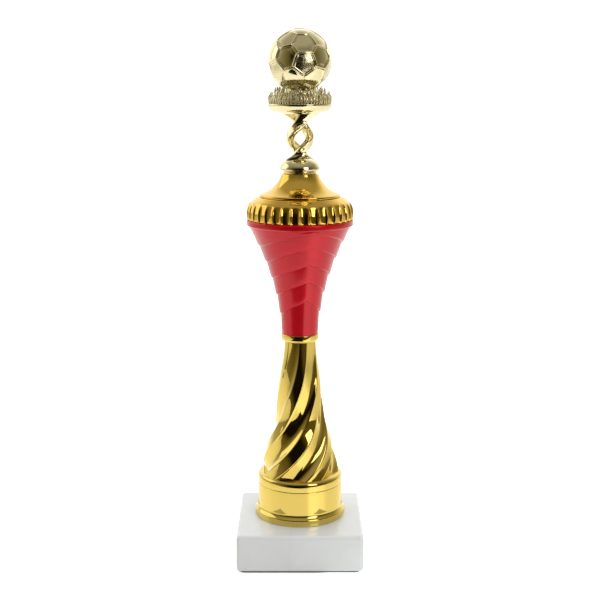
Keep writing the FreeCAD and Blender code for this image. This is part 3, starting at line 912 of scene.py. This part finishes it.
class TROPHY_OT_strands(bpy.types.Operator):
    """Cushion-shaped collar and the two strands that wind up from it to the dish"""
    bl_idname = "trophy.strands"
    bl_label = "Collar and strands"

    def execute(self, context):
        bottom, top, edge = span_of("figure_collar")
        shoulder = flowing([
            (edge - 0.35, bottom + 2.4), (9.8, bottom + 4.2), (8.3, bottom + 5.4), (6, top - 0.1)])
        collar = turned("cushion_collar", [
            (4.45, bottom, 0), (edge - 0.3, bottom, 0.7), (edge + 0.04, bottom + 1.2, 0.8), *shoulder,
            (0, top, 0), (0, bottom + 5.25, 0), (4.45, bottom + 5.25, 0)], 144, 50)
        finish_piece(collar, "figure", "pale_gold", "figure_collar")
        first = self.strand(bottom)
        bpy.ops.object.duplicate(linked=False)
        second = context.object
        start_editing()
        select_everything()
        wind(math.pi)
        bpy.ops.object.mode_set(mode="OBJECT")
        pair = join_pieces([first, second], "wound_strands")
        finish_piece(pair, "figure", "pale_gold", "twisted_strands")
        return {"FINISHED"}

    def strand(self, foot):
        """One strand: a flat oval extruded up its path, turned and resized at every step."""
        bottom, top = STRAND_REACH[0][0], STRAND_REACH[-1][0]
        heights = [bottom + (top - bottom) * k / (STRAND_LEVELS - 1) for k in range(STRAND_LEVELS)]

        def middle(height):
            turn = softly_through(STRAND_TURN, height)
            angle, reach = turn * math.pi / 2, softly_through(STRAND_REACH, height) * MM
            flat = max(-FLAT_TURN, min(FLAT_TURN, turn)) * math.pi / 2
            return flat, Vector((
                ROD_X + reach * math.cos(angle), ROD_Y + reach * math.sin(angle),
                (foot + height) * MM))

        flat, here = middle(bottom)
        wide = softly_through(STRAND_WIDE, bottom)
        clear_selection()
        bpy.ops.mesh.primitive_circle_add(
            vertices=16, radius=wide * MM, fill_type="NGON", location=here)
        strand = start_editing()
        off_sides = 0.5 * wide * MM
        select_points(
            strand, lambda place: min(abs(place.x - here.x), abs(place.y - here.y)) > off_sides)
        bpy.ops.transform.resize(value=(CORNER_PUSH, CORNER_PUSH, 1), center_override=here)
        select_everything()
        bpy.ops.transform.resize(value=(SIDE_PRESS, 1, 1), center_override=here)
        wind(flat, here)
        for height in heights[1:]:
            next_flat, there = middle(height)
            extrude_by(*(there - here))
            wind(next_flat - flat, there)
            factor = softly_through(STRAND_WIDE, height) / wide
            bpy.ops.transform.resize(value=(factor, factor, 1), center_override=there)
            flat, here, wide = next_flat, there, wide * factor
        hold_edges(strand, foot + bottom, foot + top)
        close_up()
        stop_editing(strand, "strand", 60)
        subdivide_smooth(strand, 2)
        return strand


# Rows of grass: share of the outer count, foot radius, and (out, up, width share) steps in mm.
GRASS_ROWS = [
    (1.0, 16.3, [
        (0.45, 2.0, 1.0), (0.25, 1.7, 0.92), (-0.1, 1.1, 0.8), (-0.55, 0.9, 0.62), (-0.7, 0.4, 0.35)]),
    (0.8, 14.4, [
        (0.7, 3.2, 1.0), (0.6, 2.1, 0.9), (0.3, 1.3, 0.75), (-0.2, 0.8, 0.6), (-0.75, 0.25, 0.4)]),
    (0.66, 12.4, [
        (0.5, 4.6, 1.0), (0.5, 2.5, 0.9), (0.2, 1.3, 0.75), (-0.35, 0.8, 0.55), (-0.75, 0.1, 0.4)]),
    (0.5, 11.2, [(0.4, 5.6, 1.0), (0.5, 2.8, 0.9), (0.2, 1.3, 0.75), (-0.1, 0.6, 0.5)])]


class TROPHY_OT_grass(bpy.types.Operator):
    """Shallow dish and the tuft of curling blades that fills it"""
    bl_idname = "trophy.grass"
    bl_label = "Dish and grass"

    def execute(self, context):
        bottom, top, edge = span_of("grass_dish")
        bowl = flowing([
            (11.0, bottom + 0.05), (13.4, bottom + 0.6), (15.6, bottom + 1.6), (edge - 0.15, top - 1.2)])
        dish = turned("shallow_dish", [
            (0, bottom, 0), (10.6, bottom, 0), *bowl, (edge, top - 0.9, 0), (edge, top, 0.25),
            (edge - 0.7, top, 0.25), (edge - 0.9, top - 0.9, 0.3), (0, top - 1, 0)], 160, 50)
        finish_piece(dish, "figure", "pale_gold", "grass_dish")
        self.tuft(context, top - 1)
        return {"FINISHED"}

    def tuft(self, context, foot):
        dice = random.Random(7)
        core = turned("grass_core", [
            (0, foot, 0), (13.4, foot, 0), (13.4, foot + 2.6, 1), (12.0, foot + 4.4, 1),
            (10.8, foot + 6.0, 1), (9.0, foot + 6.6, 0.5), (0, foot + 5.0, 0)], 96, 50)
        parts = [core]
        blades = context.scene.trophy_sizes.blade_count
        for row, (share, radius, steps) in enumerate(GRASS_ROWS):
            model = self.blade(radius, foot - 0.2, steps)
            count = int(blades * share)
            for k in range(count):
                parts.append(self.planted(model, row, (k + 0.5 * (row % 2)) / count, foot, dice))
            bpy.data.objects.remove(model)
        tuft = join_pieces(parts, "grass_tuft")
        finish_piece(tuft, "figure", "pale_gold", "grass_mound", finish="grass_gold")

    def blade(self, radius, foot, steps):
        """One closed blade, thick across and wide along its row, that bends over at its tip."""
        clear_selection()
        bpy.ops.mesh.primitive_plane_add(size=1 * MM, location=(ROD_X + radius * MM, ROD_Y, foot * MM))
        blade = start_editing()
        bpy.ops.transform.resize(
            value=(0.9, 0.98, 1), center_override=(ROD_X + radius * MM, ROD_Y, foot * MM))
        at, width, height = radius, 1.0, foot
        for out, up, share in steps:
            extrude_by(out * MM, 0, up * MM)
            at, height = at + out, height + up
            factor = share / width
            bpy.ops.transform.resize(
                value=(factor, factor, 1), center_override=(ROD_X + at * MM, ROD_Y, height * MM))
            width = share
        close_up()
        stop_editing(blade, "blade", 60)
        subdivide_smooth(blade, 1)
        return blade

    def planted(self, model, row, share, foot, dice):
        """A copy of the blade, set in its row with a little lean and height of its own."""
        clear_selection()
        model.select_set(True)
        bpy.context.view_layer.objects.active = model
        bpy.ops.object.duplicate(linked=False)
        copy = start_editing()
        select_everything()
        root = place_of(copy, next(iter(bmesh.from_edit_mesh(copy.data).verts)))
        lean = dice.uniform(-0.12, 0.12) * (1 + row * 0.7)
        tall = dice.uniform(0.86, 1.08)
        bpy.ops.transform.resize(value=(1, 1, tall), center_override=(root.x, root.y, foot * MM))
        bpy.ops.transform.rotate(
            value=lean, orient_axis="X", center_override=(root.x, ROD_Y, foot * MM))
        wind(2 * math.pi * share + dice.uniform(-0.01, 0.01))
        bpy.ops.object.mode_set(mode="OBJECT")
        return copy


# Rings from a seam's bottom to its panel: distance on from the last ring and height over the ball.
SEAM_RINGS = [(0.16, -0.35), (0.15, 0.02), (0.20, 0.10), (0.20, 0.02), (0.16, -0.16), (0.16, -0.2)]


class TROPHY_OT_ball(bpy.types.Operator):
    """Ball of five-sided and six-sided panels with raised seams, in two halves"""
    bl_idname = "trophy.ball"
    bl_label = "Ball"

    def execute(self, context):
        sizes = context.scene.trophy_sizes
        level = math.cos(sizes.ball_drop)
        facing = Vector((
            math.sin(sizes.ball_turn) * level, -math.cos(sizes.ball_turn) * level,
            -math.sin(sizes.ball_drop)))
        turn = facing.to_track_quat("Z", "Y").to_matrix() @ Matrix.Rotation(-math.pi / 2, 3, "Z")
        clear_selection()
        bpy.ops.mesh.primitive_ico_sphere_add(
            subdivisions=1, radius=BALL_RADIUS, location=BALL_CENTRE, rotation=turn.to_euler())
        ball = start_editing()
        select_everything()
        bpy.ops.mesh.bevel(offset_type="PERCENT", offset_pct=37, affect="VERTICES", segments=1)
        select_everything()
        bpy.ops.mesh.subdivide(number_cuts=7)
        select_everything()
        self.lay_on_ball(ball, -sizes.seam_depth / MM)
        for thickness, height in SEAM_RINGS:
            bpy.ops.mesh.inset(thickness=thickness * MM, use_individual=True, use_even_offset=True)
            self.lay_on_ball(ball, height)
        self.mark_stippled(ball)
        bpy.ops.mesh.poke()
        bpy.ops.mesh.subdivide(number_cuts=3)
        self.lay_on_ball(ball, SEAM_RINGS[-1][1])
        close_up()
        ball.data.materials.append(finishes()["pale_gold"])
        ball.data.materials.append(finishes()["stippled_gold"])
        stop_editing(ball, "panelled_ball", 60)
        self.halves(context, ball)
        return {"FINISHED"}

    def lay_on_ball(self, ball, height):
        """Brings the selected points to one distance from the ball's centre, height mm over its skin."""
        bpy.ops.transform.tosphere(value=1, center_override=BALL_CENTRE)
        mesh = bmesh.from_edit_mesh(ball.data)
        far = [(place_of(ball, v) - BALL_CENTRE).length for v in mesh.verts if v.select]
        factor = (BALL_RADIUS + height * MM) / (sum(far) / len(far))
        bpy.ops.transform.resize(value=(factor,) * 3, center_override=BALL_CENTRE)

    def mark_stippled(self, ball):
        """The five-sided panels, which have fewer corners than the others, take the second finish."""
        mesh = bmesh.from_edit_mesh(ball.data)
        panels = [face for face in mesh.faces if face.select]
        fewest = min(len(face.verts) for face in panels)
        for face in panels:
            face.material_index = int(len(face.verts) == fewest)
        bmesh.update_edit_mesh(ball.data)

    def halves(self, context, ball):
        """Cuts the ball down its middle into a front and a rear half, and fills the flat cut of each."""
        for name, node, clear_front in (
                ("ball_panels_front", "ball_front_half", False),
                ("ball_panels_rear", "ball_rear_half", True)):
            clear_selection()
            ball.select_set(True)
            context.view_layer.objects.active = ball
            bpy.ops.object.duplicate(linked=False)
            half = start_editing()
            select_everything()
            bpy.ops.mesh.bisect(
                plane_co=BALL_CENTRE, plane_no=(0, 1, 0), use_fill=True,
                clear_inner=clear_front, clear_outer=not clear_front)
            close_up()
            stop_editing(half, name, 60)
            finish_piece(half, "figure", "pale_gold", node)
        bpy.data.objects.remove(ball)


# ---------------------------------------------------------------- stage

# Tone of the surroundings by share of a turn: 0 is behind, 0.5 is the front.
SURROUNDINGS = [
    (0.0, (1.3, 1.3, 1.3)), (0.10, (1.2, 1.2, 1.18)), (0.17, (0.55, 0.54, 0.48)),
    (0.27, (0.32, 0.29, 0.19)), (0.36, (0.15, 0.122, 0.048)), (0.44, (0.10, 0.078, 0.026)),
    (0.5, (0.06, 0.046, 0.016)), (0.56, (0.09, 0.07, 0.025)), (0.68, (0.13, 0.105, 0.04)),
    (0.80, (0.34, 0.32, 0.22)), (0.90, (1.2, 1.2, 1.18)), (1.0, (1.3, 1.3, 1.3))]

# Glow of the floor by the same shares of a turn, with a bright patch to the front right.
FLOOR_GLOW = [
    (0.0, 0.32), (0.09, 0.30), (0.2, 0.14), (0.545, 0.12), (0.57, 0.42), (0.665, 0.42), (0.70, 0.14),
    (0.8, 0.14), (0.91, 0.30), (1.0, 0.32)]


FLOOR_WIDTH = 4.0
FLOOR_FRONT = -0.40
CARD_PLACE = (-0.12, -0.40, 1 * MM)
CARD_SIZE = (0.46, 0.39)
AIM_SHARE = 0.45

# Soft lights: name, place, size, brightness of the surface, and whether the plating mirrors it.
SOFT_LIGHTS = [
    ("right_softbox", (0.36, -0.48, 0.42), (0.26, 0.40), 3.0, True),
    ("left_softbox", (-0.58, 0.16, 0.40), (0.5, 0.5), 0.9, True),
    ("front_fill", (0.3, -0.9, 0.5), (0.7, 0.7), 1.3, False),
    ("top_softbox", (0.0, -0.05, 1.15), (1.1, 1.1), 2.3, False)]


class TROPHY_OT_stage(bpy.types.Operator):
    """Pale floor, a dark card for reflections, soft lights, surroundings and the camera"""
    bl_idname = "trophy.stage"
    bl_label = "Stage"

    def execute(self, context):
        stage = context.scene.trophy_stage
        self.floor(stage)
        self.dark_card()
        self.surroundings(context.scene)
        for light in SOFT_LIGHTS:
            self.soft_light(*light)
        camera = bpy.data.cameras.new("camera")
        camera.lens, camera.sensor_width = stage.camera_lens, 36
        holder = bpy.data.objects.new("camera", camera)
        holder.location = stage.camera_place
        holder.rotation_euler = (math.pi / 2 - stage.camera_pitch, 0, 0)
        context.scene.collection.objects.link(holder)
        context.scene.camera = holder
        context.scene.view_settings.view_transform = "Standard"
        return {"FINISHED"}

    def level_sheet(self, name, place, width, depth):
        clear_selection()
        bpy.ops.mesh.primitive_plane_add(size=1, location=place)
        sheet = start_editing()
        bpy.ops.transform.resize(value=(width, depth, 1), center_override=place)
        return stop_editing(sheet, name, 30)

    def floor(self, stage):
        """A wide pale sheet that glows by direction, and more strongly to the camera."""
        depth = stage.floor_reach - FLOOR_FRONT
        sheet = self.level_sheet("floor_sheet", (0, FLOOR_FRONT + depth / 2, 0), FLOOR_WIDTH, depth)
        paper = Finish("floor_paper")
        place = paper.place()
        grain = paper.noise(place, 60)["Fac"]
        x, y, z = paper.node("SeparateXYZ", {0: place}).outputs
        around = paper.math("ARCTAN2", x, paper.math("MULTIPLY", y, -1))
        glow = [(position, (*[amount] * 3, 1)) for position, amount in FLOOR_GLOW]
        to_camera = paper.node("LightPath").outputs["Is Camera Ray"]
        paper.set(
            Roughness=0.35, Specular_IOR_Level=0.5,
            Base_Color=paper.ramp(grain, [(0, (*[0.92] * 3, 1)), (1, (*[0.94] * 3, 1))]),
            Emission_Color=paper.ramp(paper.spread(around, 0, 1, -math.pi, math.pi), glow),
            Emission_Strength=paper.math("MULTIPLY_ADD", to_camera, 2.0, 1.0))
        sheet.data.materials.append(paper.material)

    def dark_card(self):
        """A black card low in front, seen only in reflections, that gives the plating its darks."""
        card = self.level_sheet("dark_card", CARD_PLACE, *CARD_SIZE)
        black = Finish("card_black")
        black.set(Roughness=0.9, Base_Color=(0.01, 0.009, 0.007, 1), Specular_IOR_Level=0.0)
        card.data.materials.append(black.material)
        card.visible_camera = card.visible_diffuse = card.visible_shadow = False

    def surroundings(self, scene):
        """White to the camera and behind, and dark to the front for everything else."""
        world = bpy.data.worlds.new("studio")
        world.use_nodes = True
        scene.world = world
        world.node_tree.nodes.clear()
        studio = Wiring(world.node_tree)
        way = studio.node("TexCoord").outputs["Generated"]
        x, y, z = studio.node("SeparateXYZ", {0: way}).outputs
        around = studio.math("ARCTAN2", x, studio.math("MULTIPLY", y, -1))
        share = studio.math("ADD", studio.math("DIVIDE", around, 2 * math.pi), 0.5)
        walls = studio.ramp(share, [(position, (*tone, 1)) for position, tone in SURROUNDINGS])
        room = studio.mixed(studio.spread(z, 0, 1, 0.5, 0.85), walls, (0.42, 0.40, 0.34, 1))
        soft = {"interpolation_type": "SMOOTHSTEP"}
        off_middle = studio.math("ABSOLUTE", studio.math("ADD", x, 0.16))
        beside = studio.spread(off_middle, 0, 1, 0.28, 0.56, **soft)
        over = studio.spread(z, 0, 1, 0.25, 0.5, **soft)
        behind = studio.math("GREATER_THAN", y, 0)
        lit = studio.math("MAXIMUM", studio.math("MAXIMUM", beside, over), behind)
        mirrored = studio.mixed(lit, (0.008, 0.007, 0.004, 1), room)
        to_camera = studio.node("LightPath").outputs["Is Camera Ray"]
        seen = studio.mixed(to_camera, mirrored, (1.3, 1.3, 1.3, 1))
        background = studio.node("Background", {"Color": seen})
        studio.node("OutputWorld", {0: background.outputs[0]})

    def soft_light(self, name, place, size, brightness, mirrored):
        """A flat soft light that faces the middle of the trophy."""
        light = bpy.data.lights.new(name, "AREA")
        light.shape, light.size, light.size_y = "RECTANGLE", *size
        light.energy = brightness * math.pi * size[0] * size[1]
        lamp = bpy.data.objects.new(name, light)
        lamp.location = place
        aim = Vector((ROD_X, ROD_Y, BALL_CENTRE.z * AIM_SHARE)) - Vector(place)
        lamp.rotation_euler = aim.to_track_quat("-Z", "Y").to_euler()
        lamp.visible_glossy = mirrored
        bpy.context.scene.collection.objects.link(lamp)


# ---------------------------------------------------------------- panel and registration

STEPS = [
    TROPHY_OT_cad_finishes, TROPHY_OT_block, TROPHY_OT_tie_rod, TROPHY_OT_cup, TROPHY_OT_stem,
    TROPHY_OT_rings, TROPHY_OT_flared_body, TROPHY_OT_lid, TROPHY_OT_strands, TROPHY_OT_grass,
    TROPHY_OT_ball, TROPHY_OT_stage]


class TROPHY_PT_sidebar(bpy.types.Panel):
    bl_label = "Figure trophy"
    bl_idname = "TROPHY_PT_sidebar"
    bl_space_type = "VIEW_3D"
    bl_region_type = "UI"
    bl_category = "Trophy"

    def draw(self, context):
        for name in GROUPS:
            group = getattr(context.scene, name)
            box = self.layout.box()
            for key in group.__annotations__:
                box.prop(group, key)
        for step in STEPS:
            self.layout.operator(step.bl_idname)


GROUPS = {
    "trophy_sizes": TrophySizes, "trophy_colours": TrophyColours, "trophy_stage": TrophyStage}


def register():
    for kind in (*GROUPS.values(), *STEPS, TROPHY_PT_sidebar):
        bpy.utils.register_class(kind)
    for name, group in GROUPS.items():
        setattr(bpy.types.Scene, name, bpy.props.PointerProperty(type=group))


def unregister():
    for name in GROUPS:
        delattr(bpy.types.Scene, name)
    for kind in reversed((*GROUPS.values(), *STEPS, TROPHY_PT_sidebar)):
        bpy.utils.unregister_class(kind)


def main():
    register()
    for step in STEPS:
        family, name = step.bl_idname.split(".")
        getattr(getattr(bpy.ops, family), name)()


if __name__ == "__main__":
    main()
